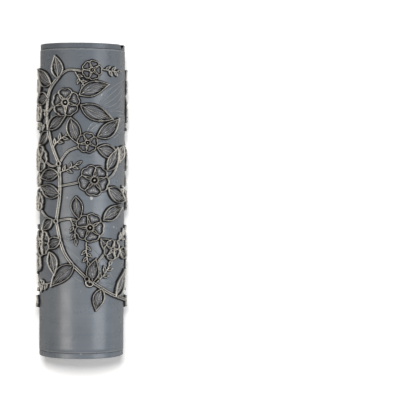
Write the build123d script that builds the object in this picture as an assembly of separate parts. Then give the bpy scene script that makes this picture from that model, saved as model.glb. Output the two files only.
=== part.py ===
from build123d import *
import math
import os

# Roller: it lies along Y with its crown facing +Z, and its notched end is the rear (+Y)
roller_length = 152.0
sleeve_radius = 20.7
sleeve_wall = 2.8
end_band = 2.6
parting_gap = 0.1
edge_chamfer = 0.25
cut_overrun = 1.0

# Core tube in the sleeve
slide_clearance = 0.15
core_wall = 2.0

# End caps: a flange, a spigot that enters the core, and a ribbed hub
band_step = 0.15
spigot_clearance = 0.2
spigot_wall = 3.4
spigot_length = 12.0
spigot_lead = 0.6
hub_wall = 1.8
rib_count = 6
rib_thickness = 1.6
rib_setback = 1.5
dish_depth = 1.0
dish_rim = 2.6
boss_rim = 1.2

# Start notch in the rim of the rear cap
notch_width = 5.2
notch_depth = 2.1
notch_cut = 1.6
notch_turn = 72.0

# Lugs of the caps, in pockets of the sleeve ends
lug_count = 2
lug_width = 4.0
lug_length = 2.0
lug_height = 1.2
lug_clearance = 0.2

# Bushes for the rod
rod_diameter = 8.0
rod_clearance = 0.05
bush_wall = 1.5
bush_fit = 0.02
bush_flange_reach = 1.5
bush_flange_thickness = 1.0

# O-rings in the spigot grooves
ring_section = 1.8
ring_count = 2
ring_pitch = 5.0
ring_setback = 3.5
ring_clearance = 0.05
groove_clearance = 0.15

# Relief of the sleeve
relief_height = 2.0
relief_root = 0.6
field_length = 120.0
field_shift = 9.5
ridge_width = 0.8
vein_width = 0.65
stem_width = 1.4
branch_width = 1.1
tendril_width = 1.0
tendril_tip_width = 0.7
sprig_width = 0.7
sprig_tip_width = 0.6
knot_radius = 1.3

# Heights of the ridges as shares of the relief height
blossom_height_share = 1.0
leaf_height_share = 0.95
knot_height_share = 0.92
bud_height_share = 0.89
stem_height_share = 0.84
branch_height_share = 0.78
leaflet_height_share = 0.74
tendril_height_share = 0.70
sprig_height_share = 0.62

# Numbers of straight steps in the outlines
petal_count = 5
large_petal_steps = 4
small_petal_steps = 3
leaf_steps = 4
bud_steps = 4
curve_steps = 3
tendril_steps = 12
knot_steps = 8

# Shape of the outlines: shares of their length or radius, and the leaflets' spread in degrees
leaf_belly_share = 0.8
leaf_hole_shares = (0.09, 0.87)
bud_belly_share = 1.35
bud_hole_shares = (0.34, 0.84)
petal_waist_share = 0.72
petal_round_share = 0.6
petal_cell_share = 0.92
petal_corner_share = 0.80
petal_foot_share = 0.45
eye_share = 0.26
tendril_curl_share = 0.82
tendril_reach_share = 2.2
leaflet_place_shares = (0.22, 0.42, 0.60, 0.78, 1)
leaflet_length_share = 0.34
leaflet_width_share = 0.22
leaflet_belly_shares = (0.25, 0.65)
leaflet_spread = 48

# Places in one repeat: share of its width along the turn, then share of the field along Y
repeat_count = 2
stem_section_shares = (
    ((0.47, -0.485), (0.26, -0.455), (0.06, -0.39)),
    ((0.06, -0.39), (-0.10, -0.29), (-0.17, -0.16)),
    ((-0.17, -0.16), (-0.14, -0.04), (-0.15, 0.07)),
    ((-0.15, 0.07), (-0.23, 0.17), (-0.27, 0.27)),
    ((-0.27, 0.27), (-0.24, 0.36), (-0.15, 0.42)),
)
branch_shares = (
    ((-0.15, 0.42), (-0.08, 0.445), (0.02, 0.44)),
    ((-0.27, 0.27), (-0.20, 0.30), (-0.14, 0.30)),
    ((-0.15, 0.07), (-0.08, 0.12), (0.01, 0.14)),
    ((-0.15, -0.02), (-0.05, -0.01), (0.02, 0.0)),
    ((-0.17, -0.16), (-0.06, -0.15), (0.02, -0.17)),
    ((0.06, -0.39), (0.13, -0.33), (0.19, -0.29)),
    ((0.20, 0.005), (0.27, 0.03), (0.32, 0.075)),
    ((-0.27, 0.27), (-0.31, 0.285), (-0.35, 0.28)),
    ((-0.15, 0.07), (-0.21, 0.06), (-0.27, 0.075)),
    ((-0.17, -0.16), (-0.27, -0.145), (-0.34, -0.12)),
)
# Blossoms: place, radius share of the repeat, turn in degrees
large_blossom_shares = (
    (-0.10, 0.315, 0.108, 20),
    (0.11, 0.005, 0.118, 50),
    (0.08, -0.185, 0.110, -5),
    (-0.36, 0.09, 0.104, 10),
    (-0.33, -0.25, 0.106, 35),
)
small_blossom_shares = (
    (0.09, 0.445, 0.076, 0),
    (-0.40, 0.275, 0.072, 30),
    (0.06, 0.155, 0.078, 10),
    (0.26, -0.275, 0.080, 40),
    (-0.38, -0.085, 0.074, 20),
)
# Leaves: place of the foot, direction in degrees, length and half width shares, bend in degrees
leaf_shares = (
    (-0.165, 0.412, 98, 0.17, 0.050, 20),
    (-0.22, 0.39, 150, 0.24, 0.056, -25),
    (-0.25, 0.335, 190, 0.20, 0.050, 25),
    (0.00, 0.345, 20, 0.24, 0.055, -25),
    (0.01, 0.305, -22, 0.27, 0.058, 20),
    (-0.06, 0.255, -70, 0.22, 0.050, 25),
    (-0.25, 0.205, 35, 0.20, 0.046, -20),
    (-0.25, 0.20, 215, 0.17, 0.044, -20),
    (0.13, 0.18, 35, 0.24, 0.055, 25),
    (0.13, 0.135, -22, 0.22, 0.050, -20),
    (-0.15, 0.03, 190, 0.20, 0.046, 20),
    (-0.14, -0.05, 165, 0.22, 0.052, -20),
    (0.21, 0.045, 60, 0.20, 0.050, 25),
    (0.22, -0.025, -25, 0.24, 0.054, 20),
    (-0.02, -0.06, -80, 0.18, 0.044, 20),
    (-0.20, -0.155, 215, 0.15, 0.042, 20),
    (-0.13, -0.235, 205, 0.16, 0.044, 20),
    (0.18, -0.155, 25, 0.22, 0.052, -25),
    (0.16, -0.23, -35, 0.20, 0.046, 20),
    (-0.03, -0.335, 222, 0.25, 0.056, 20),
    (-0.23, -0.285, 285, 0.18, 0.046, -20),
    (0.10, -0.405, 82, 0.18, 0.048, -25),
    (0.17, -0.43, 255, 0.17, 0.046, 10),
    (0.30, -0.465, 55, 0.24, 0.054, 20),
    (0.34, -0.275, -20, 0.16, 0.044, 20),
)
bud_shares = (
    (0.33, 0.075, 65, 0.14, 0.048),
    (-0.38, 0.345, 110, 0.13, 0.046),
    (0.465, -0.484, -12, 0.13, 0.046),
    (-0.378, 0.036, 262, 0.11, 0.042),
    (-0.345, -0.305, 242, 0.13, 0.046),
)
# Tendrils: place of the foot, direction in degrees, size share, hand and turns of the curl
tendril_shares = (
    (0.26, 0.195, 40, 0.11, 1, 1.2),
    (0.385, -0.02, -20, 0.10, -1, 1.2),
    (0.06, -0.392, 235, 0.12, 1, 1.2),
)
# Sprigs: place of the foot, direction in degrees, length share, bend in degrees
sprig_shares = (
    (-0.146, 0.035, 25, 0.14, 15),
    (-0.06, -0.15, -75, 0.15, -20),
    (-0.22, -0.41, 196, 0.17, 20),
    (0.13, -0.405, 50, 0.16, 25),
    (0.31, -0.243, 30, 0.16, 20),
    (-0.275, 0.235, 195, 0.15, -20),
    (-0.03, 0.437, -55, 0.13, 20),
    (0.165, 0.45, -5, 0.14, 20),
    (0.054, -0.243, -85, 0.14, 15),
    (-0.43, -0.12, 125, 0.15, 20),
    (-0.405, -0.292, 240, 0.14, 20),
    (-0.205, 0.135, 40, 0.14, -20),
)

# Sizes that follow from those above
half_length = roller_length / 2
flange_face = half_length - end_band
sleeve_end = flange_face - parting_gap
sleeve_bore = sleeve_radius - sleeve_wall
core_radius = sleeve_bore - slide_clearance
core_bore = core_radius - core_wall
flange_radius = sleeve_radius - band_step
spigot_radius = core_bore - spigot_clearance
spigot_bore = spigot_radius - spigot_wall
spigot_end = flange_face - spigot_length
bush_bore = rod_diameter / 2 + rod_clearance
bush_radius = bush_bore + bush_wall
bush_flange_radius = bush_radius + bush_flange_reach
seat_radius = bush_flange_radius + slide_clearance
hub_bore = bush_radius + bush_fit
hub_radius = hub_bore + hub_wall
ring_radius = core_bore - ring_clearance - ring_section / 2
groove_floor = ring_radius - ring_section / 2 - ring_clearance
lug_foot = sleeve_bore + lug_clearance
repeat_width = 2 * math.pi * sleeve_radius / repeat_count
lug_end = sleeve_end - lug_length


# Turned and straight solids

def turned(*corners):
    """ring about Y, from its (radius, y) corners"""
    return revolve(make_face(Polyline(*corners, close=True)), Axis.Y)


def tube(radius, bore, start, end):
    return turned((bore, start), (radius, start), (radius, end), (bore, end))


def bar(width, start, end, foot, top):
    """straight bar across Y, from the height foot to the height top"""
    middle = Pos(0, (start + end) / 2, (foot + top) / 2)
    return middle * Box(width, end - start, top - foot)


def spread(solid, count):
    """copies of a solid at even turns about Y"""
    return [Rot(0, 360 * k / count, 0) * solid for k in range(count)]


# Outlines of the relief, unrolled: length along the turn, then length along Y

def place(shares):
    return (shares[0] * repeat_width, field_shift + shares[1] * field_length)


def beside(point, direction, side):
    return (point[0] - side * math.sin(direction), point[1] + side * math.cos(direction))


def polar(centre, radius, direction):
    return (centre[0] + radius * math.cos(direction), centre[1] + radius * math.sin(direction))


def spine(foot, direction, length, bend, share):
    """point on a bent centre line, and the direction there"""
    chord = direction + bend * (share - 1) / 2
    return polar(foot, length * share, chord), direction + bend * (share - 0.5)


def belly(share, skew):
    return math.sin(math.pi * share ** skew)


def blade(foot, direction, length, half_width, bend, steps, skew, hole_shares):
    """outline of a leaf or bud, with a hole on each side of its midrib"""
    def side_points(side, first, last, rim, reach):
        points = []
        for k in range(steps + 1):
            share = k / steps
            swell = belly(share, skew) if 0 < k < steps else 0
            point, heading = spine(foot, direction, length, bend, first + (last - first) * share)
            points.append(beside(point, heading, side * (rim + reach * swell)))
        return points

    left = side_points(1, 0, 1, 0, half_width)
    right = side_points(-1, 0, 1, 0, half_width)
    rim = vein_width / 2
    reach = half_width - ridge_width - rim
    holes = []
    for side in (1, -1):
        edge = side_points(side, *hole_shares, rim, reach)
        midrib = side_points(side, *hole_shares, rim, 0)
        holes.append(edge + midrib[-2:0:-1])
    return left + right[-2:0:-1], holes


def blossom(centre, radius, direction, steps):
    """outline of a five-petal blossom, with a cell in each petal and a round eye"""
    half_turn = math.pi / petal_count
    eye = radius * eye_share

    def rim(turn):
        lobe = abs(math.cos(petal_count * turn / 2)) ** petal_round_share
        return radius * (petal_waist_share + (1 - petal_waist_share) * lobe)

    outline = []
    for k in range(petal_count * steps):
        turn = half_turn + 2 * half_turn * k / steps
        outline.append(polar(centre, rim(turn), direction + turn))
    holes = []
    for petal in range(petal_count):
        middle = direction + 2 * half_turn * petal
        cell = []
        for k in range(steps + 1):
            share = 2 * k / steps - 1
            reach = rim(share * half_turn * petal_corner_share) - ridge_width
            turn = share * (half_turn - vein_width / 2 / reach) * petal_cell_share
            cell.append(polar(centre, reach, middle + turn))
        for share in (petal_foot_share, -petal_foot_share):
            cell.append(polar(centre, eye + ridge_width, middle + share * half_turn))
        holes.append(cell)
    holes.append(rounded(centre, eye))
    return outline, holes


def rounded(centre, radius):
    return [polar(centre, radius, 2 * math.pi * k / knot_steps) for k in range(knot_steps)]


def strip(points, start_width, end_width):
    """outline of a ridge of changing width along a line of points"""
    left = []
    right = []
    last = len(points) - 1
    for k, point in enumerate(points):
        before = points[max(k - 1, 0)]
        after = points[min(k + 1, last)]
        heading = math.atan2(after[1] - before[1], after[0] - before[0])
        side = (start_width + (end_width - start_width) * k / last) / 2
        left.append(beside(point, heading, side))
        right.append(beside(point, heading, -side))
    return left + right[::-1], []


def smooth(places):
    """smooth line through the places"""
    def between(a, b, c, d, x):
        return b + 0.5 * x * (c - a + x * (2 * a - 5 * b + 4 * c - d + x * (3 * b - a - 3 * c + d)))

    points = []
    last = len(places) - 1
    for k in range(last):
        four = [places[min(max(k + j, 0), last)] for j in (-1, 0, 1, 2)]
        for j in range(curve_steps):
            points.append(tuple(between(*axis, j / curve_steps) for axis in zip(*four)))
    return points + [places[-1]]


def stem(shares, width):
    """outline of a stem through its places"""
    return strip(smooth([place(point) for point in shares]), width, width)


def tendril(foot, direction, size, hand, turns):
    """outline of a curling tendril"""
    points = [foot]
    stride = size * tendril_reach_share / tendril_steps
    for k in range(tendril_steps):
        heading = direction + hand * 2 * math.pi * turns * k / tendril_steps
        points.append(polar(points[-1], stride * (1 - tendril_curl_share * k / tendril_steps), heading))
    return strip(points, tendril_width, tendril_tip_width)


def leaflet(foot, direction, length):
    """outline of a small leaf"""
    left = []
    right = []
    for share in leaflet_belly_shares:
        middle = polar(foot, length * share, direction)
        left.append(beside(middle, direction, length * leaflet_width_share))
        right.append(beside(middle, direction, -length * leaflet_width_share))
    return [foot, *left, polar(foot, length, direction), *right[::-1]], []


def sprig(foot, direction, length, bend):
    """outlines of a stalk, and of small leaves on both sides and at its tip"""
    stalk = [spine(foot, direction, length, bend, k / curve_steps)[0] for k in range(curve_steps + 1)]
    leaflets = []
    for number, share in enumerate(leaflet_place_shares):
        middle, heading = spine(foot, direction, length, bend, share)
        lean = 0 if share == 1 else (-1) ** number * math.radians(leaflet_spread)
        leaflets.append(leaflet(middle, heading + lean, length * leaflet_length_share))
    return strip(stalk, sprig_width, sprig_tip_width), leaflets


# Ridges of the relief on the sleeve

def ridge(outline, holes, height_share):
    """raised solid over an outline, with a root in the sleeve wall"""
    top = sleeve_radius + relief_height * height_share
    level = (sleeve_radius + top) / 2
    across = [point[0] for point in outline]
    turn = (min(across) + max(across)) / 2 / sleeve_radius
    plane = Plane(origin=(0, 0, 0), x_dir=(math.cos(turn), 0, -math.sin(turn)),
                  z_dir=(math.sin(turn), 0, math.cos(turn)))

    def wire(points):
        flat = [(level * math.sin(s / sleeve_radius - turn), t) for s, t in points]
        return Wire.make_polygon([Vector(*point) for point in flat], close=True)

    face = plane.offset(sleeve_bore / 2) * Face(wire(outline), [wire(hole) for hole in holes])
    prism = extrude(face, amount=top - sleeve_bore / 2 + cut_overrun, dir=plane.z_dir)
    band = tube(top, sleeve_radius - relief_root, -half_length, half_length)
    return (prism & band).solids()


def repeat_ridges():
    """ridges of one repeat of the vine"""
    ridges = []
    for shares in stem_section_shares:
        ridges += ridge(*stem(shares, stem_width), stem_height_share)
    for shares in stem_section_shares[1:]:
        ridges += ridge(rounded(place(shares[0]), knot_radius), [], knot_height_share)
    for shares in branch_shares:
        ridges += ridge(*stem(shares, branch_width), branch_height_share)
    for *foot, degrees, size, hand, turns in tendril_shares:
        outline = tendril(place(foot), math.radians(degrees), size * repeat_width, hand, turns)
        ridges += ridge(*outline, tendril_height_share)
    for *foot, degrees, length, bend in sprig_shares:
        sizes = (math.radians(degrees), length * repeat_width, math.radians(bend))
        stalk, leaflets = sprig(place(foot), *sizes)
        ridges += ridge(*stalk, sprig_height_share)
        for outline in leaflets:
            ridges += ridge(*outline, leaflet_height_share)
    for *foot, degrees, length, half_width, bend in leaf_shares:
        sizes = (
            math.radians(degrees),
            length * repeat_width,
            half_width * repeat_width,
            math.radians(bend),
        )
        outline = blade(place(foot), *sizes, leaf_steps, leaf_belly_share, leaf_hole_shares)
        ridges += ridge(*outline, leaf_height_share)
    for *foot, degrees, length, half_width in bud_shares:
        sizes = (math.radians(degrees), length * repeat_width, half_width * repeat_width, 0)
        outline = blade(place(foot), *sizes, bud_steps, bud_belly_share, bud_hole_shares)
        ridges += ridge(*outline, bud_height_share)
    blossoms = [(shares, large_petal_steps) for shares in large_blossom_shares]
    blossoms += [(shares, small_petal_steps) for shares in small_blossom_shares]
    for (*centre, radius, degrees), steps in blossoms:
        outline = blossom(place(centre), radius * repeat_width, math.radians(degrees), steps)
        ridges += ridge(*outline, blossom_height_share)
    return ridges


# Texture sleeve: chamfered tube with a pocket for each lug, then the relief
wall = turned(
    (sleeve_bore, -sleeve_end),
    (sleeve_radius - edge_chamfer, -sleeve_end),
    (sleeve_radius, -sleeve_end + edge_chamfer),
    (sleeve_radius, sleeve_end - edge_chamfer),
    (sleeve_radius - edge_chamfer, sleeve_end),
    (sleeve_bore, sleeve_end),
)
pocket_top = lug_foot + lug_height + lug_clearance
pocket_width = lug_width + 2 * lug_clearance
pocket = bar(pocket_width, lug_end - lug_clearance, half_length, sleeve_bore / 2, pocket_top)
for cut in spread(pocket, lug_count):
    wall -= cut
    wall -= Rot(180, 0, 0) * cut
ridges = repeat_ridges()
all_ridges = [copy for solid in ridges for copy in spread(solid, repeat_count)]
texture_sleeve = wall.solids()[0].fuse(*all_ridges)

# Core tube
core_tube = tube(core_radius, core_bore, -sleeve_end, sleeve_end)

# Rear end cap
flange = turned(
    (hub_bore, flange_face),
    (flange_radius - edge_chamfer, flange_face),
    (flange_radius, flange_face + edge_chamfer),
    (flange_radius, half_length - edge_chamfer),
    (flange_radius - edge_chamfer, half_length),
    (flange_radius - dish_rim, half_length),
    (flange_radius - dish_rim, half_length - dish_depth),
    (seat_radius + boss_rim, half_length - dish_depth),
    (seat_radius + boss_rim, half_length),
    (seat_radius, half_length),
    (seat_radius, half_length - bush_flange_thickness),
    (hub_bore, half_length - bush_flange_thickness),
)
spigot = turned(
    (spigot_bore, spigot_end),
    (spigot_radius - spigot_lead, spigot_end),
    (spigot_radius, spigot_end + spigot_lead),
    (spigot_radius, flange_face + edge_chamfer),
    (spigot_bore, flange_face + edge_chamfer),
)
hub = tube(hub_radius, hub_bore, spigot_end, flange_face + edge_chamfer)
rib_foot = (hub_bore + hub_radius) / 2
rib_top = (spigot_bore + groove_floor) / 2
rib = bar(rib_thickness, spigot_end + rib_setback, flange_face + edge_chamfer, rib_foot, rib_top)
lug_ring = tube(lug_foot + lug_height, lug_foot, lug_end, flange_face + edge_chamfer)
lug = lug_ring & bar(lug_width, spigot_end, half_length, sleeve_bore / 2, sleeve_radius)
plain_cap = flange + spigot + hub
for rib_copy in spread(rib, rib_count):
    plain_cap += rib_copy
for lug_copy in spread(lug, lug_count):
    plain_cap += lug_copy
groove_half = ring_section / 2 + groove_clearance
ring_places = [flange_face - ring_setback - k * ring_pitch for k in range(ring_count)]
for y in ring_places:
    plain_cap -= tube(spigot_radius + cut_overrun, groove_floor, y - groove_half, y + groove_half)

notch_face = Plane.XY * make_face(Polyline(
    (-notch_width / 2, half_length),
    (0, half_length - notch_depth),
    (notch_width / 2, half_length),
    (notch_width / 2, half_length + cut_overrun),
    (-notch_width / 2, half_length + cut_overrun),
    close=True,
))
notch_bar = extrude(Pos(0, 0, flange_radius - notch_cut) * notch_face, amount=notch_cut + cut_overrun)
rear_end_cap = plain_cap - Rot(0, notch_turn, 0) * notch_bar
front_end_cap = Rot(0, 0, 180) * plain_cap

# Bushes
bush_face = half_length - bush_flange_thickness
rear_rod_bush = turned(
    (bush_bore, spigot_end),
    (bush_radius, spigot_end),
    (bush_radius, bush_face),
    (bush_flange_radius, bush_face),
    (bush_flange_radius, half_length),
    (bush_bore, half_length),
)
front_rod_bush = Rot(0, 0, 180) * rear_rod_bush

# O-rings
ring = Rot(90, 0, 0) * Torus(ring_radius, ring_section / 2)
pieces = {
    "texture_sleeve": texture_sleeve,
    "core_tube": core_tube,
    "front_end_cap": front_end_cap,
    "rear_end_cap": rear_end_cap,
    "front_rod_bush": front_rod_bush,
    "rear_rod_bush": rear_rod_bush,
}
for number, y in enumerate(ring_places, start=1):
    pieces[f"front_cap_o_ring_{number}"] = Pos(0, -y, 0) * ring
    pieces[f"rear_cap_o_ring_{number}"] = Pos(0, y, 0) * ring

os.makedirs("parts", exist_ok=True)
for name, piece in pieces.items():
    export_step(piece, f"parts/{name}.step")
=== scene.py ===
import math

import bpy
import numpy as np
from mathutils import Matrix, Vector


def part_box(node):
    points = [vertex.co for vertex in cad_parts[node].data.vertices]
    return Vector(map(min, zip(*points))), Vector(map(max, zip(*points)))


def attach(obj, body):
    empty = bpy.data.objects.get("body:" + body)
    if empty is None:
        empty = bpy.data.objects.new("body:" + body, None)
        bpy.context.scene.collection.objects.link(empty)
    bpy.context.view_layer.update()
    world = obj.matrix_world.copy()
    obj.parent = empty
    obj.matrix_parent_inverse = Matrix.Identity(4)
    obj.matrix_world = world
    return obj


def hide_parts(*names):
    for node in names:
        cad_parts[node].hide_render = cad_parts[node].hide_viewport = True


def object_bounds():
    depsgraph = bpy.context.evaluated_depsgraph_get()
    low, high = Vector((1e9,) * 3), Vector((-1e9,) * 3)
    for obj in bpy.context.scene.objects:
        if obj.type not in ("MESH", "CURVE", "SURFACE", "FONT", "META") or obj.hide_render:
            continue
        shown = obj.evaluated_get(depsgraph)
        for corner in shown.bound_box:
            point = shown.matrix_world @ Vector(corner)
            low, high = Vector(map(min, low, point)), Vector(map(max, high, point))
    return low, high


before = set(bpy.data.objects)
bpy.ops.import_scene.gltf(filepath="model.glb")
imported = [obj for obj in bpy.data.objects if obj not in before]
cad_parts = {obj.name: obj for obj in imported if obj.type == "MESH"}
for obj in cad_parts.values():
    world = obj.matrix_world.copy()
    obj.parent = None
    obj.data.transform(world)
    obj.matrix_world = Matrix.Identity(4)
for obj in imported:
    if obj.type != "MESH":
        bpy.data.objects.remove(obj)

cad_low, cad_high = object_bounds()

# Sleeve, in metres: its outer sizes come from the frame
MM = 0.001
SLEEVE_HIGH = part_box("texture_sleeve")[1]
RELIEF_HEIGHT = 2.0 * MM
SLEEVE_WALL = 2.8 * MM
SLEEVE_RADIUS = SLEEVE_HIGH.z - RELIEF_HEIGHT
SLEEVE_END = SLEEVE_HIGH.y
SLEEVE_BORE = SLEEVE_RADIUS - SLEEVE_WALL
EDGE_CHAMFER = 0.25 * MM
SHARP_ANGLE = math.radians(50)

# Lug pockets in the ends of the sleeve's bore
LUG_POCKET_HALF_WIDTH = 2.2 * MM
LUG_POCKET_HEIGHT = 1.6 * MM
LUG_POCKET_DEPTH = 2.2 * MM
LUG_POCKET_TOP = SLEEVE_BORE + LUG_POCKET_HEIGHT

# Start notch in the rear cap, and how far its black runs past the cut
CAP_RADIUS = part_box("rear_end_cap")[1].z
CAP_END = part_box("rear_end_cap")[1].y
NOTCH_TURN = math.radians(72)
NOTCH_WIDTH = 5.2 * MM
NOTCH_DEPTH = 2.1 * MM
NOTCH_CUT = 1.6 * MM
NOTCH_BLACK_MARGIN = 0.3 * MM

# Field of the relief, and the steps of the mesh
REPEAT_COUNT = 2
REPEAT_WIDTH = 2 * math.pi * SLEEVE_RADIUS / REPEAT_COUNT
FIELD_LENGTH = 120.0 * MM
FIELD_SHIFT = 9.5 * MM
FIELD_MARGIN = 4.0 * MM
GRID_STEP = 0.2 * MM
PLAIN_STEP = 2.0 * MM
BORE_RINGS = 9

# Ridge widths
RIDGE_WIDTH = 0.46 * MM
VEIN_WIDTH = 0.40 * MM
FINE_WIDTH = 0.36 * MM
STEM_WIDTH = 1.40 * MM
BRANCH_WIDTH = 1.0 * MM
TENDRIL_WIDTH = 0.85 * MM
TENDRIL_TIP_WIDTH = 0.5 * MM
SPRIG_WIDTH = 0.55 * MM
HAIR_WIDTH = 0.4 * MM
SEPAL_WIDTH = FINE_WIDTH * 1.3
LEAFLET_RIM_WIDTH = FINE_WIDTH * 1.15
WALL_RUN = 0.48 * MM
KNOT_RADIUS = 1.25 * MM

# Heights as shares of the relief height
BLOSSOM_SHARE = 1.0
PETAL_STEP_SHARE = 0.02
LEAF_SHARE = 0.95
KNOT_SHARE = 0.92
BUD_SHARE = 0.89
STEM_SHARE = 0.84
BRANCH_SHARE = 0.78
LEAFLET_SHARE = 0.74
TENDRIL_SHARE = 0.70
SPRIG_SHARE = 0.62
VEIN_SHARE = 0.66
FINE_SHARE = 0.50
HAIR_SHARE = 0.10
LEAF_DOME_SHARE = 0.38
BUD_DOME_SHARE = 0.48
PETAL_DOME_SHARE = 0.42

# Section of a ridge: how far its crown and a boss fall to the sides, and the furrow down a stem
CROWN_FALL = 0.10
BOSS_FALL = 0.25
STEM_GROOVE = 0.6
FURROW_WIDTH = 0.25

# Numbers of points in the lines
CURVE_STEPS = 16
BLADE_POINTS = 29
VEIN_POINTS = 14
PETAL_EDGE_POINTS = 25
PETAL_SIDE_POINTS = 9
PETAL_LINE_POINTS = 10
EYE_POINTS = 33
KNOT_POINTS = 25
STALK_POINTS = 12
TENDRIL_STEPS = 48

# Leaf: a vein has two ends and a reach, and the midrib stops a few points before the tip
LEAF_BELLY = 0.8
LEAF_DOME_REACH = 0.75
LEAF_VEINS = ((0.06, 0.68, 0.72), (0.26, 0.90, 0.44))
MIDRIB_STOP = 3

# Bud: its seam starts at one point of the centre line, and its sepals span several
BUD_BELLY = 1.35
BUD_DOME_REACH = 0.8
BUD_SEAM_START = 9
SEPAL_SPAN = (3, 19)
SEPAL_REACH = (0.1, 0.62)
SEPAL_BOW = 1.2

# Blossom, in shares of its radius, of its eye's radius and of a petal's half turn
PETAL_COUNT = 5
PETAL_TIP_FALL = 0.20
PETAL_TIP_NOTCH = 0.07
PETAL_NOTCH_WIDTH = 0.2
PETAL_FOOT = 0.45
PETAL_FLARE = 0.62
PETAL_FLARE_BOW = 0.7
PETAL_DOME_REACH = 0.26
PETAL_LINES = ((-0.5, 0.70), (0.0, 0.66), (0.5, 0.70))
PETAL_LINE_START = 1.2
PETAL_LINE_BOW = 0.8
EYE_SHARE = 0.22
LARGE_STAMEN_COUNT = 10
SMALL_STAMEN_COUNT = 7
STAMEN_REACH = 1.45
EYE_BOSS = 0.34

# Sprig, whose small leaves sit at these shares of its stalk, and tendril
LEAFLET_SHARES = (0.22, 0.42, 0.60, 0.78, 1)
LEAFLET_SPREAD = math.radians(48)
LEAFLET_LENGTH = 0.34
LEAFLET_WIDTH = 0.24
TENDRIL_REACH = 2.2
TENDRIL_CURL = 0.82

# Hairline leaf: its lines lie at these shares of its half width
HAIR_LINE_SHARES = (1.0, 0.55)

# Wear and painted shade: how far round a point the relief counts, and the drops and rises that count in
# full
TOP_REACH = 0.4 * MM
MIDDLE_REACH = 0.8 * MM
WIDE_REACH = 1.3 * MM
CROWD_SHADE_REACH = 2.4 * MM
WALL_FULL_DROP = 0.40
WALL_SHADE_SHARE = 0.60
MIDDLE_FULL_DROP = 0.30
MIDDLE_SHADE_SHARE = 0.85
TOP_START = 0.40
TOP_RUN = 0.55
CREST_FULL_RISE = 0.14

# Places in one repeat: share of its width along the turn, then share of the field along Y
STEM_SECTION_SHARES = (
    ((0.47, -0.485), (0.26, -0.455), (0.06, -0.39)),
    ((0.06, -0.39), (-0.10, -0.29), (-0.17, -0.16)),
    ((-0.17, -0.16), (-0.14, -0.04), (-0.15, 0.07)),
    ((-0.15, 0.07), (-0.23, 0.17), (-0.27, 0.27)),
    ((-0.27, 0.27), (-0.24, 0.36), (-0.15, 0.42)),
)
BRANCH_SHARES = (
    ((-0.15, 0.42), (-0.08, 0.445), (0.02, 0.44)),
    ((-0.27, 0.27), (-0.20, 0.30), (-0.14, 0.30)),
    ((-0.15, 0.07), (-0.08, 0.12), (0.01, 0.14)),
    ((-0.15, -0.02), (-0.05, -0.01), (0.02, 0.0)),
    ((-0.17, -0.16), (-0.06, -0.15), (0.02, -0.17)),
    ((0.06, -0.39), (0.13, -0.33), (0.19, -0.29)),
    ((0.20, 0.005), (0.27, 0.03), (0.32, 0.075)),
    ((-0.27, 0.27), (-0.31, 0.285), (-0.35, 0.28)),
    ((-0.15, 0.07), (-0.21, 0.06), (-0.27, 0.075)),
    ((-0.17, -0.16), (-0.27, -0.145), (-0.34, -0.12)),
)
# Blossoms: place of the eye, radius share of the repeat's width, turn in degrees
LARGE_BLOSSOM_SHARES = (
    (-0.10, 0.315, 0.108, 20),
    (0.11, 0.005, 0.118, 50),
    (0.08, -0.185, 0.110, -5),
    (-0.36, 0.09, 0.104, 10),
    (-0.33, -0.25, 0.106, 35),
)
SMALL_BLOSSOM_SHARES = (
    (0.09, 0.445, 0.076, 0),
    (-0.40, 0.275, 0.072, 30),
    (0.06, 0.155, 0.078, 10),
    (0.26, -0.275, 0.080, 40),
    (-0.38, -0.085, 0.074, 20),
)
# Leaves: place of the foot, direction in degrees, length and half width shares, bend in degrees
LEAF_SHARES = (
    (-0.165, 0.412, 98, 0.17, 0.050, 20),
    (-0.22, 0.39, 150, 0.24, 0.056, -25),
    (-0.25, 0.335, 190, 0.20, 0.050, 25),
    (0.00, 0.345, 20, 0.24, 0.055, -25),
    (0.01, 0.305, -22, 0.27, 0.058, 20),
    (-0.06, 0.255, -70, 0.22, 0.050, 25),
    (-0.25, 0.205, 35, 0.20, 0.046, -20),
    (-0.25, 0.20, 215, 0.17, 0.044, -20),
    (0.13, 0.18, 35, 0.24, 0.055, 25),
    (0.13, 0.135, -22, 0.22, 0.050, -20),
    (-0.15, 0.03, 190, 0.20, 0.046, 20),
    (-0.14, -0.05, 165, 0.22, 0.052, -20),
    (0.21, 0.045, 60, 0.20, 0.050, 25),
    (0.22, -0.025, -25, 0.24, 0.054, 20),
    (-0.02, -0.06, -80, 0.18, 0.044, 20),
    (-0.20, -0.155, 215, 0.15, 0.042, 20),
    (-0.13, -0.235, 205, 0.16, 0.044, 20),
    (0.18, -0.155, 25, 0.22, 0.052, -25),
    (0.16, -0.23, -35, 0.20, 0.046, 20),
    (-0.03, -0.335, 222, 0.25, 0.056, 20),
    (-0.23, -0.285, 285, 0.18, 0.046, -20),
    (0.10, -0.405, 82, 0.18, 0.048, -25),
    (0.17, -0.43, 255, 0.17, 0.046, 10),
    (0.30, -0.465, 55, 0.24, 0.054, 20),
    (0.34, -0.275, -20, 0.16, 0.044, 20),
)
# Buds: as the leaves, without a bend
BUD_SHARES = (
    (0.33, 0.075, 65, 0.14, 0.048),
    (-0.38, 0.345, 110, 0.13, 0.046),
    (0.465, -0.484, -12, 0.13, 0.046),
    (-0.378, 0.036, 262, 0.11, 0.042),
    (-0.345, -0.305, 242, 0.13, 0.046),
)
# Tendrils: place of the foot, direction in degrees, size share, hand and turns of the curl
TENDRIL_SHARES = (
    (0.26, 0.195, 40, 0.11, 1, 1.2),
    (0.385, -0.02, -20, 0.10, -1, 1.2),
    (0.06, -0.392, 235, 0.12, 1, 1.2),
)
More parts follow.
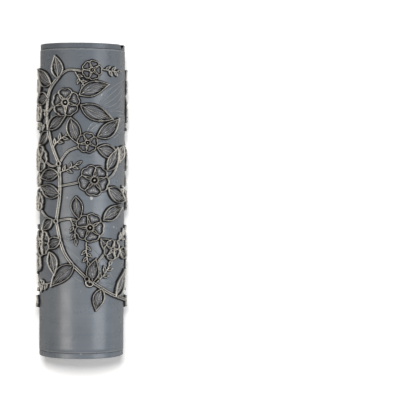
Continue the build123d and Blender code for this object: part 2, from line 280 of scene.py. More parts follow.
# Sprigs: place of the foot, direction in degrees, length share, bend in degrees
SPRIG_SHARES = (
    (-0.146, 0.035, 25, 0.14, 15),
    (-0.06, -0.15, -75, 0.15, -20),
    (-0.22, -0.41, 196, 0.17, 20),
    (0.13, -0.405, 50, 0.16, 25),
    (0.31, -0.243, 30, 0.16, 20),
    (-0.275, 0.235, 195, 0.15, -20),
    (-0.03, 0.437, -55, 0.13, 20),
    (0.165, 0.45, -5, 0.14, 20),
    (0.054, -0.243, -85, 0.14, 15),
    (-0.43, -0.12, 125, 0.15, 20),
    (-0.405, -0.292, 240, 0.14, 20),
    (-0.205, 0.135, 40, 0.14, -20),
)
# Hairline leaves: as the leaves
HAIR_LEAF_SHARES = (
    (-0.16, -0.22, -38, 0.62, 0.13, 25),
    (0.04, 0.17, 18, 0.52, 0.10, -30),
    (-0.47, 0.13, -62, 0.42, 0.09, 20),
    (0.15, 0.30, 35, 0.40, 0.08, 30),
)


# Unrolled lines: length along the turn, then length along Y

def place(shares):
    return np.array((shares[0] * REPEAT_WIDTH, FIELD_SHIFT + shares[1] * FIELD_LENGTH))


def across(*shares):
    """lengths from shares of the repeat's width"""
    return [share * REPEAT_WIDTH for share in shares]


def polar(centre, radius, direction):
    u = centre[0] + radius * np.cos(direction)
    v = centre[1] + radius * np.sin(direction)
    return np.stack((u, v), axis=-1)


def spine(foot, direction, length, bend, share):
    """points on a bent centre line, and the headings there"""
    share = np.asarray(share)
    points = polar(foot, length * share, direction + bend * (share - 1) / 2)
    return points, direction + bend * (share - 0.5)


def beside(points, heading, side):
    return points + np.stack((-side * np.sin(heading), side * np.cos(heading)), axis=-1)


def smooth(places):
    """smooth line through the places"""
    last = len(places) - 1
    points = []
    for k in range(last):
        a, b, c, d = (places[min(max(k + j, 0), last)] for j in (-1, 0, 1, 2))
        for x in np.arange(CURVE_STEPS) / CURVE_STEPS:
            bow = 2 * a - 5 * b + 4 * c - d + x * (3 * b - a - 3 * c + d)
            points.append(b + 0.5 * x * (c - a + x * bow))
    return np.array(points + [places[-1]])


def closed(outline):
    return np.vstack((outline, outline[:1]))


def circle(centre, radius, points):
    """line once round a centre, whose last point is its first one again"""
    return polar(centre, radius, np.linspace(0, 2 * math.pi, points))


def nearest(line, u, v):
    """distance of each grid point from a line, and how far along the line that is"""
    starts = line[:-1]
    spans = line[1:] - starts
    least = 1e-9
    lengths = np.maximum(np.hypot(spans[:, 0], spans[:, 1]), least)
    travelled = np.concatenate(((0,), np.cumsum(lengths)))
    best = np.full(u.shape, np.inf)
    along = np.zeros(u.shape)
    for start, span, length, before in zip(starts, spans, lengths, travelled):
        share = np.clip(((u - start[0]) * span[0] + (v - start[1]) * span[1]) / length ** 2, 0, 1)
        distance = np.hypot(u - start[0] - share * span[0], v - start[1] - share * span[1])
        closer = distance < best
        best = np.where(closer, distance, best)
        along = np.where(closer, (before + share * length) / travelled[-1], along)
    return best, along


def inside(outline, u, v):
    """which grid points lie inside a closed outline"""
    found = np.zeros(u.shape, dtype=bool)
    for (u0, v0), (u1, v1) in zip(outline, np.roll(outline, -1, axis=0)):
        if v0 == v1:
            continue
        crosses = ((v0 > v) != (v1 > v)) & (u < (u1 - u0) * (v - v0) / (v1 - v0) + u0)
        found ^= crosses
    return found


# Height field of one repeat

def eased(share):
    """share held between 0 and 1, and rounded off at both"""
    share = np.clip(share, 0, 1)
    return share * share * (3 - 2 * share)


class Field:
    """heights over one repeat, wrapped along the turn"""

    def __init__(self):
        self.columns = round(REPEAT_WIDTH / GRID_STEP)
        self.step = REPEAT_WIDTH / self.columns
        self.low = FIELD_SHIFT - FIELD_LENGTH / 2 - FIELD_MARGIN
        self.rows = round((FIELD_LENGTH + 2 * FIELD_MARGIN) / GRID_STEP)
        self.height = np.zeros((self.rows, self.columns))

    def window(self, points, margin):
        """rows, columns and places of the grid points round some points"""
        left = math.floor((points[:, 0].min() - margin) / self.step)
        right = math.ceil((points[:, 0].max() + margin) / self.step)
        bottom = max(0, math.floor((points[:, 1].min() - margin - self.low) / GRID_STEP))
        top = min(self.rows - 1, math.ceil((points[:, 1].max() + margin - self.low) / GRID_STEP))
        columns = np.arange(left, right + 1)
        rows = np.arange(bottom, top + 1)
        u, v = np.meshgrid(columns * self.step, self.low + rows * GRID_STEP)
        return np.ix_(rows, columns % self.columns), u, v

    def clear(self, outline):
        """levels the ground inside an outline, so that what lies behind it is hidden"""
        cells, u, v = self.window(outline, 0)
        self.height[cells] = np.where(inside(outline, u, v), 0, self.height[cells])

    def stroke(self, line, width, share, end_width=None, groove=0.0):
        """ridge along a line, whose height is a share of the relief height"""
        end_width = width if end_width is None else end_width
        wall_run = min(WALL_RUN, width)
        cells, u, v = self.window(line, (max(width, end_width) + wall_run) / 2)
        distance, along = nearest(line, u, v)
        half = (width + (end_width - width) * along) / 2
        rise = eased((half + wall_run / 2 - distance) / wall_run)
        crown = 1 - CROWN_FALL * np.clip(distance / half, 0, 1) ** 2
        furrow = 1 - groove * np.exp(-(distance / (FURROW_WIDTH * width)) ** 2)
        ridge = RELIEF_HEIGHT * share * rise * crown * furrow
        self.height[cells] = np.maximum(self.height[cells], ridge)

    def dome(self, outline, share, reach):
        """swelling ground inside an outline, full at a distance from its edge"""
        cells, u, v = self.window(outline, 0)
        distance = nearest(closed(outline), u, v)[0]
        swell = np.sin(np.clip(distance / reach, 0, 1) * math.pi / 2)
        ground = np.where(inside(outline, u, v), RELIEF_HEIGHT * share * swell, 0)
        self.height[cells] = np.maximum(self.height[cells], ground)

    def boss(self, centre, radius, share):
        """round boss with a falling top"""
        cells, u, v = self.window(centre[None, :], radius + WALL_RUN)
        distance = np.hypot(u - centre[0], v - centre[1])
        rise = eased((radius + WALL_RUN / 2 - distance) / WALL_RUN)
        top = 1 - BOSS_FALL * np.clip(distance / radius, 0, 1) ** 2
        self.height[cells] = np.maximum(self.height[cells], RELIEF_HEIGHT * share * rise * top)


# Motifs of the vine

def belly(share, skew):
    """half width of a blade as a share of its largest, at a share of its length"""
    return np.sin(math.pi * share ** skew)


def blade(foot, direction, length, half_width, bend, skew):
    """centre line, headings and half widths of a leaf or bud"""
    share = np.linspace(0, 1, BLADE_POINTS)
    points, heading = spine(foot, direction, length, bend, share)
    return points, heading, half_width * belly(share, skew)


def blade_outline(points, heading, swell, rim_width):
    """outline through the middle of a blade's rim"""
    out = np.clip(swell - rim_width / 2, 0, None)
    return np.vstack((beside(points, heading, out), beside(points, heading, -out)[-2:0:-1]))


def leaf(field, foot, direction, length, half_width, bend):
    """domed leaf with a rim, a midrib and two veins on each side"""
    points, heading, swell = blade(foot, direction, length, half_width, bend, LEAF_BELLY)
    outline = blade_outline(points, heading, swell, RIDGE_WIDTH)
    field.clear(outline)
    field.dome(outline, LEAF_DOME_SHARE, half_width * LEAF_DOME_REACH)
    run = np.linspace(0, 1, VEIN_POINTS)
    for first, last, reach in LEAF_VEINS:
        shares = first + (last - first) * run
        at, turn = spine(foot, direction, length, bend, shares)
        out = (half_width - RIDGE_WIDTH) * belly(shares, LEAF_BELLY) * reach * np.sin(run * math.pi / 2)
        for side in (1, -1):
            field.stroke(beside(at, turn, side * out), FINE_WIDTH, FINE_SHARE)
    field.stroke(points[:-MIDRIB_STOP], VEIN_WIDTH, VEIN_SHARE, end_width=FINE_WIDTH)
    field.stroke(closed(outline), RIDGE_WIDTH, LEAF_SHARE)


def bud(field, foot, direction, length, half_width):
    """domed bud with a rim, a seam towards its tip and a curling sepal on each side"""
    points, heading, swell = blade(foot, direction, length, half_width, 0, BUD_BELLY)
    outline = blade_outline(points, heading, swell, RIDGE_WIDTH)
    field.clear(outline)
    field.dome(outline, BUD_DOME_SHARE, half_width * BUD_DOME_REACH)
    field.stroke(closed(outline), RIDGE_WIDTH, BUD_SHARE)
    field.stroke(points[BUD_SEAM_START:], VEIN_WIDTH, VEIN_SHARE, end_width=FINE_WIDTH)
    first, last = SEPAL_SPAN
    out = half_width * np.linspace(*SEPAL_REACH, last - first) ** SEPAL_BOW
    for side in (1, -1):
        sepal = beside(points[first:last], heading[first:last], side * out)
        field.stroke(sepal, SEPAL_WIDTH, VEIN_SHARE)


def petal_edge(radius, share):
    """how far a petal reaches, from -1 to 1 across its width, with a shallow notch in its tip"""
    fall = PETAL_TIP_FALL * np.abs(share) ** 3
    notch = PETAL_TIP_NOTCH * np.exp(-(share / PETAL_NOTCH_WIDTH) ** 2)
    return radius * (1 - fall - notch)


def petal_outline(centre, reach, eye, middle, half_turn):
    """one side of a petal, its edge and its other side"""
    climb = np.linspace(0, 1, PETAL_SIDE_POINTS)[:-1]
    side_radius = eye + (petal_edge(reach, 1.0) - eye) * climb
    side_turn = half_turn * (PETAL_FOOT + PETAL_FLARE * climb ** PETAL_FLARE_BOW)
    share = np.linspace(-1, 1, PETAL_EDGE_POINTS)
    edge_turn = half_turn * (PETAL_FOOT + PETAL_FLARE) * share
    start = polar(centre, side_radius, middle - side_turn)
    edge = polar(centre, petal_edge(reach, share), middle + edge_turn)
    end = polar(centre, side_radius[::-1], middle + side_turn[::-1])
    return np.vstack((start, edge, end))


def blossom(field, centre, radius, direction, large):
    """blossom whose petals overlap round its eye, with lines on the petals of a large one"""
    half_turn = math.pi / PETAL_COUNT
    eye = radius * EYE_SHARE
    for petal in range(PETAL_COUNT):
        middle = direction + 2 * half_turn * petal
        outline = petal_outline(centre, radius - RIDGE_WIDTH / 2, eye, middle, half_turn)
        field.clear(outline)
        field.dome(outline, PETAL_DOME_SHARE, radius * PETAL_DOME_REACH)
        lines = PETAL_LINES if large else ()
        for lean, far in lines:
            run = np.linspace(eye * PETAL_LINE_START, radius * far, PETAL_LINE_POINTS)
            turn = middle + half_turn * lean * (run / radius) ** PETAL_LINE_BOW
            field.stroke(polar(centre, run, turn), FINE_WIDTH, FINE_SHARE)
        rim_share = BLOSSOM_SHARE - PETAL_STEP_SHARE * (PETAL_COUNT - petal)
        field.stroke(closed(outline), RIDGE_WIDTH, rim_share)
    ring = circle(centre, eye, EYE_POINTS)
    field.clear(ring[:-1])
    stamen_run = np.array((eye, eye * STAMEN_REACH))
    stamens = LARGE_STAMEN_COUNT if large else SMALL_STAMEN_COUNT
    for k in range(stamens):
        turn = direction + 2 * math.pi * k / stamens
        field.stroke(polar(centre, stamen_run, turn), FINE_WIDTH, LEAF_SHARE)
    field.stroke(ring, VEIN_WIDTH, BLOSSOM_SHARE)
    field.boss(centre, eye * EYE_BOSS, LEAF_SHARE)


def stem(field, shares, width, height_share):
    """grooved stem through its places"""
    line = smooth([place(point) for point in shares])
    field.stroke(line, width, height_share, groove=STEM_GROOVE)


def sprig(field, foot, direction, length, bend):
    """stalk with small leaves on both sides and one at its tip"""
    stalk = spine(foot, direction, length, bend, np.linspace(0, 1, STALK_POINTS))[0]
    field.stroke(stalk, SPRIG_WIDTH, SPRIG_SHARE)
    size = length * LEAFLET_LENGTH
    for number, share in enumerate(LEAFLET_SHARES):
        at, heading = spine(foot, direction, length, bend, share)
        lean = 0 if share == 1 else LEAFLET_SPREAD * (-1) ** number
        leaflet = blade(at, heading + lean, size, size * LEAFLET_WIDTH, 0, LEAF_BELLY)
        outline = blade_outline(*leaflet, FINE_WIDTH)
        field.clear(outline)
        field.dome(outline, LEAF_DOME_SHARE, size * LEAFLET_WIDTH)
        field.stroke(closed(outline), LEAFLET_RIM_WIDTH, LEAFLET_SHARE)


def knot(field, centre):
    """round boss with a pit in its middle, where branches leave the stem"""
    rim = circle(centre, KNOT_RADIUS - RIDGE_WIDTH / 2, KNOT_POINTS)
    field.clear(rim[:-1])
    field.stroke(rim, RIDGE_WIDTH, KNOT_SHARE)


def tendril(field, foot, direction, size, hand, turns):
    """curling tendril, whose steps shorten towards its tip"""
    stride = size * TENDRIL_REACH / TENDRIL_STEPS
    line = [foot]
    for k in range(TENDRIL_STEPS):
        heading = direction + hand * 2 * math.pi * turns * k / TENDRIL_STEPS
        line.append(polar(line[-1], stride * (1 - TENDRIL_CURL * k / TENDRIL_STEPS), heading))
    field.stroke(np.array(line), TENDRIL_WIDTH, TENDRIL_SHARE, end_width=TENDRIL_TIP_WIDTH)


def hair_leaf(field, foot, direction, length, half_width, bend):
    """large leaf drawn in hairlines on the open ground"""
    points, heading, swell = blade(foot, direction, length, half_width, bend, LEAF_BELLY)
    field.stroke(points, HAIR_WIDTH, HAIR_SHARE)
    for reach in HAIR_LINE_SHARES:
        for side in (reach, -reach):
            field.stroke(beside(points, heading, side * swell), HAIR_WIDTH, HAIR_SHARE)


def vine():
    """height field of one repeat of the vine, from the back of the design to its front"""
    field = Field()
    for *foot, degrees, length, half_width, bend in HAIR_LEAF_SHARES:
        size = across(length, half_width)
        hair_leaf(field, place(foot), math.radians(degrees), *size, math.radians(bend))
    for *foot, degrees, size, hand, turns in TENDRIL_SHARES:
        tendril(field, place(foot), math.radians(degrees), *across(size), hand, turns)
    for shares in BRANCH_SHARES:
        stem(field, shares, BRANCH_WIDTH, BRANCH_SHARE)
    for shares in STEM_SECTION_SHARES:
        stem(field, shares, STEM_WIDTH, STEM_SHARE)
    for *foot, degrees, length, bend in SPRIG_SHARES:
        sprig(field, place(foot), math.radians(degrees), *across(length), math.radians(bend))
    for *foot, degrees, length, half_width, bend in LEAF_SHARES:
        size = across(length, half_width)
        leaf(field, place(foot), math.radians(degrees), *size, math.radians(bend))
    for shares in STEM_SECTION_SHARES[1:]:
        knot(field, place(shares[0]))
    for *foot, degrees, length, half_width in BUD_SHARES:
        bud(field, place(foot), math.radians(degrees), *across(length, half_width))
    for table, large in ((LARGE_BLOSSOM_SHARES, True), (SMALL_BLOSSOM_SHARES, False)):
        for *centre, radius, degrees in table:
            blossom(field, place(centre), *across(radius), math.radians(degrees), large)
    return field.low, field.height


# Relief sleeve: one closed mesh with the relief outside and the bore inside

def blur(heights, reach):
    """mean of the heights within a square round each point, wrapped along the turn"""
    cells = round(reach / GRID_STEP)
    kernel = np.ones(2 * cells + 1) / (2 * cells + 1)
    wrapped = np.concatenate((heights[:, -cells:], heights, heights[:, :cells]), axis=1)
    wide = np.apply_along_axis(lambda row: np.convolve(row, kernel, "valid"), 1, wrapped)
    padded = np.pad(wide, ((cells, cells), (0, 0)))
    return np.apply_along_axis(lambda column: np.convolve(column, kernel, "valid"), 0, padded)


def highest_near(heights, reach):
    """highest ground within a square round each point, wrapped along the turn"""
    cells = round(reach / GRID_STEP)
    shifts = range(-cells, cells + 1)
    wide = np.max([np.roll(heights, shift, axis=1) for shift in shifts], axis=0)
    padded = np.pad(wide, ((cells, cells), (0, 0)))
    tall = np.max([padded[cells + shift:cells + shift + len(heights)] for shift in shifts], axis=0)
    least = 1e-6
    return np.maximum(tall, least)


def crest_and_shade_shares(heights):
    """shares of worn crest (partly painted highlight), of painted shade in hollows and of painted shade
    among crowded relief at each point of the field
    """
    wall_drop = (highest_near(heights, GRID_STEP) - heights) / RELIEF_HEIGHT
    middle_drop = (blur(heights, MIDDLE_REACH) - heights) / RELIEF_HEIGHT
    wide_drop = (blur(heights, WIDE_REACH) - heights) / RELIEF_HEIGHT
    # painted shade: darkening at the feet of walls and in narrow pockets, where shade falls
    wall_shade = np.clip(wall_drop / WALL_FULL_DROP, 0, 1) * WALL_SHADE_SHARE
    middle_shade = np.clip(middle_drop / MIDDLE_FULL_DROP, 0, 1) * MIDDLE_SHADE_SHARE
    level_top = np.clip((heights / highest_near(heights, TOP_REACH) - TOP_START) / TOP_RUN, 0, 1)
    return {
        "crest": level_top * np.clip(-wide_drop / CREST_FULL_RISE, 0, 1),
        "hollow_shade": wall_shade + middle_shade,
        # painted shade among crowded relief: darker where much relief stands near
        "crowd_shade": np.clip(blur(heights, CROWD_SHADE_REACH) / RELIEF_HEIGHT, 0, 1),
    }


def hidden_rings(turns):
    """radius and level of each ring from the rear face, through the bore, to the front face"""
    pocket_half_turn = LUG_POCKET_HALF_WIDTH / SLEEVE_BORE
    off_crown = np.minimum(turns % math.pi, math.pi - turns % math.pi)
    face = np.full(len(turns), SLEEVE_END)
    stepped = face - np.where(off_crown < pocket_half_turn, LUG_POCKET_DEPTH, 0)
    rear = [
        (SLEEVE_RADIUS - EDGE_CHAMFER, face),
        (LUG_POCKET_TOP, face),
        (LUG_POCKET_TOP, stepped),
        (SLEEVE_BORE, stepped),
    ]
    bore_end = SLEEVE_END - 2 * LUG_POCKET_DEPTH
    bore = [(SLEEVE_BORE, np.full(len(turns), y)) for y in np.linspace(bore_end, -bore_end, BORE_RINGS)]
    front = [(radius, -y) for radius, y in reversed(rear)]
    return rear + bore + front


def ring_mesh(name, radii, levels, turns, attributes):
    """closed mesh of rings about Y, each row of points joined to the next and the last to the first"""
    points = np.stack((radii * np.sin(turns), levels, radii * np.cos(turns)), axis=-1)
    rows, columns = radii.shape
    mesh = bpy.data.meshes.new(name)
    index = np.arange(rows * columns).reshape(rows, columns)
    right = np.roll(index, -1, axis=1)
    up = np.roll(index, -1, axis=0)
    corner = np.roll(up, -1, axis=1)
    faces = np.stack((index, up, corner, right), axis=-1).reshape(-1, 4)
    mesh.vertices.add(rows * columns)
    mesh.vertices.foreach_set("co", points.reshape(-1).astype(np.float32))
    mesh.loops.add(faces.size)
    mesh.loops.foreach_set("vertex_index", faces.reshape(-1).astype(np.int32))
    mesh.polygons.add(len(faces))
    mesh.polygons.foreach_set("loop_start", np.arange(0, faces.size, 4, dtype=np.int32))
    mesh.update(calc_edges=True)
    mesh.validate()
    for key, values in attributes.items():
        layer = mesh.attributes.new(key, "FLOAT", "POINT")
        layer.data.foreach_set("value", values.reshape(-1).astype(np.float32))
    piece = bpy.data.objects.new(name, mesh)
    bpy.context.scene.collection.objects.link(piece)
    return piece


def relief_sleeve(material):
    """sleeve with the carved vine: the field passes the rear lip and is cut there"""
    low, one_repeat = vine()
    heights = np.tile(one_repeat, (1, REPEAT_COUNT))
    columns = heights.shape[1]
    turns = np.arange(columns) * 2 * math.pi / columns
    rows = low + np.arange(len(heights)) * GRID_STEP
    lip = SLEEVE_END - EDGE_CHAMFER
    kept = rows < lip - GRID_STEP
    plain_rows = np.arange(-lip, low - PLAIN_STEP / 2, PLAIN_STEP)
    skin_rows = np.concatenate((plain_rows, rows[kept], (lip,)))
    hidden = hidden_rings(turns)

    def skin(values):
        """values of the field between the plain rows at the front and the lip at the rear"""
        return np.vstack((np.zeros((len(plain_rows), columns)), values[kept], np.zeros((1, columns))))

    hidden_radii = [np.full(columns, radius) for radius, y in hidden]
    hidden_levels = [y for radius, y in hidden]
    radii = np.vstack((SLEEVE_RADIUS + skin(heights), hidden_radii))
    levels = np.vstack((np.repeat(skin_rows[:, None], columns, axis=1), hidden_levels))
    plain = np.zeros((len(hidden), columns))
    attributes = {key: np.vstack((skin(values), plain)) for key, values in crest_and_shade_shares(heights).items()}
    piece = ring_mesh("relief_sleeve", radii, levels, turns, attributes)
    piece.data.shade_smooth()
    piece.data.set_sharp_from_angle(angle=SHARP_ANGLE)
    piece.data.materials.append(material)
    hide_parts("texture_sleeve")
    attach(piece, "sleeve")


# Materials

def linear(red, green, blue):
    """colour from its 0 to 255 screen values"""
    def channel(value):
        share = value / 255
        return share / 12.92 if share <= 0.04045 else ((share + 0.055) / 1.055) ** 2.4
    return (channel(red), channel(green), channel(blue), 1)


WHITE = (1, 1, 1, 1)
PRINT_GREY = linear(120, 127, 135)
PRINT_DEEP = linear(110, 117, 125)
PRINT_WARM = linear(131, 131, 132)
# painted shade: the print turns darker towards the rear end
PRINT_REAR_SHADE = linear(92, 98, 105)
PRINT_LINES = linear(84, 90, 98)
PRINT_SPECKS = linear(206, 204, 204)
# painted highlight along the sleeve's end lips
PRINT_LIP_HIGHLIGHT = linear(158, 161, 163)
# painted shade over the whole rear cap
REAR_CAP_SHADE_GREY = linear(66, 70, 78)
NOTCH_BLACK = linear(12, 12, 13)
# painted shade on the ground among crowded relief
CROWD_SHADE_GREY = linear(80, 78, 82)
# painted shade in the hollows of the relief
HOLLOW_SHADE_BLACK = linear(14, 12, 12)
# worn pale crests, partly wear and partly painted highlight
WORN_CREST_AND_HIGHLIGHT = linear(228, 223, 213)

# Depth of the marks on print, tube and rubber, and of the tool rings on the bushes
BUMP_HEIGHT = 0.03 * MM
TOOL_RING_HEIGHT = 0.02 * MM

# Print: its specular level, the share of its grain, and where the painted shade towards its rear end
# and the painted highlight on its lips start
PRINT_SPECULAR = 0.7
GRAIN_SHARE = 0.6
REAR_SHADE_START = -10 * MM
REAR_SHADE_FULL = 78 * MM
LIP_HIGHLIGHT_START = 0.8 * MM
LIP_HIGHLIGHT_FULL = 0.3 * MM

# Roughness of the black in the notch, of the painted-shade hollows and of worn crests, and the share of
# painted shade that darkens the rear cap
NOTCH_BLACK_ROUGHNESS = 0.9
HOLLOW_SHADE_ROUGHNESS = 0.9
WORN_ROUGHNESS = 0.62
REAR_CAP_SHADE_SHARE = 0.25


class Nodes:
    """short calls for making a node tree"""

    def __init__(self, tree, coordinates):
        self.tree = tree
        self.place = self.add("ShaderNodeTexCoord").outputs[coordinates]

    def add(self, kind, **settings):
        node = self.tree.nodes.new(kind)
        for key, value in settings.items():
            setattr(node, key, value)
        return node

    def feed(self, socket, value):
        """gives a socket a number or colour, or the output of another node"""
        if isinstance(value, bpy.types.NodeSocket):
            self.tree.links.new(value, socket)
        else:
            socket.default_value = value

    def filled(self, kind, values, **settings):
        """new node with values for its named inputs"""
        node = self.add(kind, **settings)
        for name, value in values.items():
            self.feed(node.inputs[name], value)
        return node

    def texture(self, place, scale, detail, roughness, **settings):
        """noise at a place, which is a vector or a single number"""
        values = {"Scale": scale, "Detail": detail, "Roughness": roughness}
        return self.filled("ShaderNodeTexNoise", place | values, **settings).outputs["Fac"]

    def noise(self, scale, detail, roughness, stretch=(1, 1, 1)):
        """noise in space, drawn out along an axis where the stretch is small"""
        mapping = self.filled("ShaderNodeMapping", {"Vector": self.place, "Scale": stretch})
        return self.texture({"Vector": mapping.outputs["Vector"]}, scale, detail, roughness)

    def rings(self, scale, detail, roughness):
        """noise in rings about the roller's axis: along it on round faces, outwards on end faces"""
        x, y, z = self.apart()
        square = self.maths("ADD", self.maths("MULTIPLY", x, x), self.maths("MULTIPLY", z, z))
        run = self.maths("ADD", y, self.maths("SQRT", square))
        return self.texture({"W": run}, scale, detail, roughness, noise_dimensions="1D")

    def ramp(self, value, low, high, low_out=0.0, high_out=1.0):
        """smooth step from one output to another"""
        values = {
            "Value": value,
            "From Min": low,
            "From Max": high,
            "To Min": low_out,
            "To Max": high_out,
        }
        node = self.filled("ShaderNodeMapRange", values, interpolation_type="SMOOTHSTEP")
        return node.outputs["Result"]

    def apart(self):
        """place along X, Y and Z"""
        outputs = self.filled("ShaderNodeSeparateXYZ", {"Vector": self.place}).outputs
        return outputs["X"], outputs["Y"], outputs["Z"]

    def far(self):
        """distance of each place from the middle of the object"""
        node = self.add("ShaderNodeVectorMath", operation="LENGTH")
        self.feed(node.inputs[0], self.place)
        return node.outputs["Value"]

    def towards(self, direction):
        """how far each place lies in a direction"""
        node = self.add("ShaderNodeVectorMath", operation="DOT_PRODUCT")
        self.feed(node.inputs[0], self.place)
        self.feed(node.inputs[1], direction)
        return node.outputs["Value"]

    def maths(self, operation, first, second=0):
        node = self.add("ShaderNodeMath", operation=operation)
        self.feed(node.inputs[0], first)
        self.feed(node.inputs[1], second)
        return node.outputs["Value"]

    def blend(self, share, first, second):
        """first colour, turned into the second by a share"""
        node = self.add("ShaderNodeMix", data_type="RGBA")
        colours = [socket for socket in node.inputs if socket.type == "RGBA"]
        for socket, value in zip((node.inputs[0], *colours), (share, first, second)):
            self.feed(socket, value)
        return next(socket for socket in node.outputs if socket.type == "RGBA")

    def attribute(self, name):
        return self.add("ShaderNodeAttribute", attribute_name=name).outputs["Fac"]

    def camera_ray(self):
        return self.add("ShaderNodeLightPath").outputs["Is Camera Ray"]


class Finish(Nodes):
    """material of one shader, placed by the object's own coordinates"""

    def __init__(self, name):
        self.material = bpy.data.materials.new(name)
        self.material.use_nodes = True
        super().__init__(self.material.node_tree, "Object")
        self.shader = self.tree.nodes["Principled BSDF"]

    def shade(self, name, value):
        self.feed(self.shader.inputs[name], value)

    def bump(self, height, distance, strength):
        values = {"Height": height, "Distance": distance, "Strength": strength}
        self.shade("Normal", self.filled("ShaderNodeBump", values).outputs["Normal"])


def notch_black_share(m):
    """share of black: full on the cut faces of the start notch and just past their edges"""
    height = m.apart()[1]
    sideways = m.maths("ABSOLUTE", m.towards((math.cos(NOTCH_TURN), 0, -math.sin(NOTCH_TURN))))
    outward = m.towards((math.sin(NOTCH_TURN), 0, math.cos(NOTCH_TURN)))
    tip = CAP_END - NOTCH_DEPTH
    half_width = m.maths("MULTIPLY", m.maths("SUBTRACT", height, tip), NOTCH_WIDTH / 2 / NOTCH_DEPTH)
    within = m.maths("LESS_THAN", sideways, m.maths("ADD", half_width, NOTCH_BLACK_MARGIN))
    deep = m.maths("GREATER_THAN", outward, CAP_RADIUS - NOTCH_CUT - NOTCH_BLACK_MARGIN)
    above_tip = m.maths("GREATER_THAN", height, tip - NOTCH_BLACK_MARGIN)
    return m.maths("MULTIPLY", m.maths("MULTIPLY", within, deep), above_tip)


def print_colour(m, lines):
    """blue-grey with mottling, painted shade that darkens it towards the rear end, dull streaks, fine
    print lines and pale specks
    """
    mottle = m.noise(scale=38, detail=4, roughness=0.55)
    streak = m.noise(scale=90, detail=2, roughness=0.5, stretch=(1, 0.06, 1))
    speck = m.noise(scale=430, detail=0, roughness=0.5)
    colour = m.blend(m.ramp(mottle, low=0.35, high=0.68), PRINT_GREY, PRINT_DEEP)
    # painted shade: darker towards the rear end
    rear_shade = m.ramp(m.apart()[1], low=REAR_SHADE_START, high=REAR_SHADE_FULL, high_out=0.5)
    colour = m.blend(rear_shade, colour, PRINT_REAR_SHADE)
    colour = m.blend(m.ramp(streak, low=0.45, high=0.75, high_out=0.55), colour, PRINT_WARM)
    colour = m.blend(m.ramp(lines, low=0.35, high=0.75, high_out=0.12), colour, PRINT_LINES)
    return m.blend(m.ramp(speck, low=0.845, high=0.875, high_out=0.7), colour, PRINT_SPECKS)


def rear_cap_shade_and_notch_black(m, colour, rough):
    """colour and roughness of the rear cap, darkened all over by painted shade, with dull black in its
    notch
    """
    black_share = notch_black_share(m)
    # painted shade darkens the whole rear cap, then the notch turns black
    colour = m.blend(black_share, m.blend(REAR_CAP_SHADE_SHARE, colour, REAR_CAP_SHADE_GREY), NOTCH_BLACK)
    dulled = m.maths("MULTIPLY", black_share, PRINT_SPECULAR)
    m.shade("Specular IOR Level", m.maths("SUBTRACT", PRINT_SPECULAR, dulled))
    return colour, m.maths("MAXIMUM", rough, m.maths("MULTIPLY", black_share, NOTCH_BLACK_ROUGHNESS))


def painted_light_and_wear(m, colour, rough):
    """colour and roughness of the sleeve, with a painted highlight on its lips, painted shade among
    crowded relief and in its hollows, and worn pale crests that are partly painted highlight
    """
    off_middle = m.maths("ABSOLUTE", m.apart()[1])
    # painted highlight along the sleeve's end lips
    lip = m.ramp(off_middle, low=SLEEVE_END - LIP_HIGHLIGHT_START, high=SLEEVE_END - LIP_HIGHLIGHT_FULL, high_out=0.6)
    # painted shade on the ground among crowded relief
    crowd_shading = m.ramp(m.attribute("crowd_shade"), low=0.10, high=0.42, high_out=0.65)
    # painted shade in the hollows and at the feet of the walls
    hollow_shading = m.ramp(m.attribute("hollow_shade"), low=0.08, high=0.80, high_out=0.97)
    patches = m.noise(scale=120, detail=3, roughness=0.6)
    rub = m.ramp(patches, low=0.30, high=0.65, low_out=0.6)
    # worn pale crests, partly wear and partly painted highlight on the ridge tops
    wear_and_highlight = m.maths("MULTIPLY", m.ramp(m.attribute("crest"), low=0.15, high=0.95), rub)
    colour = m.blend(lip, colour, PRINT_LIP_HIGHLIGHT)
    colour = m.blend(crowd_shading, colour, CROWD_SHADE_GREY)
    colour = m.blend(hollow_shading, colour, HOLLOW_SHADE_BLACK)
    colour = m.blend(wear_and_highlight, colour, WORN_CREST_AND_HIGHLIGHT)
    rough = m.maths("MAXIMUM", rough, m.maths("MULTIPLY", hollow_shading, HOLLOW_SHADE_ROUGHNESS))
    return colour, m.maths("MAXIMUM", rough, m.maths("MULTIPLY", wear_and_highlight, WORN_ROUGHNESS))


def printed_plastic(name, with_relief=False, with_notch=False):
    """blue-grey printed plastic with a satin sheen"""
    m = Finish(name)
    lines = m.rings(scale=650, detail=1, roughness=0.5)
    colour = print_colour(m, lines)
    sheen = m.noise(scale=160, detail=3, roughness=0.6)
    rough = m.ramp(sheen, low=0.3, high=0.7, low_out=0.25, high_out=0.35)
    m.shade("Specular IOR Level", PRINT_SPECULAR)
    if with_notch:
        colour, rough = rear_cap_shade_and_notch_black(m, colour, rough)
    if with_relief:
        colour, rough = painted_light_and_wear(m, colour, rough)
    grain = m.noise(scale=180, detail=2, roughness=0.5)
    m.shade("Base Color", colour)
    m.shade("Roughness", rough)
    m.bump(m.maths("ADD", lines, m.maths("MULTIPLY", grain, GRAIN_SHARE)), BUMP_HEIGHT, strength=0.35)
    return m.material


def core_plastic():
    """pale grey extruded tube with fine lengthwise draw lines"""
    m = Finish("core_plastic")
    draw = m.noise(scale=700, detail=3, roughness=0.6, stretch=(1, 0.01, 1))
    scuff = m.noise(scale=60, detail=5, roughness=0.7)
    sheen = m.noise(scale=90, detail=3, roughness=0.6)
    colour = m.blend(m.ramp(draw, low=0.3, high=0.7), linear(196, 197, 194), linear(183, 185, 183))
    colour = m.blend(m.ramp(scuff, low=0.55, high=0.75, high_out=0.35), colour, linear(160, 160, 156))
    m.shade("Base Color", colour)
    m.shade("Roughness", m.ramp(sheen, low=0.3, high=0.7, low_out=0.38, high_out=0.52))
    m.bump(draw, BUMP_HEIGHT, strength=0.4)
    return m.material


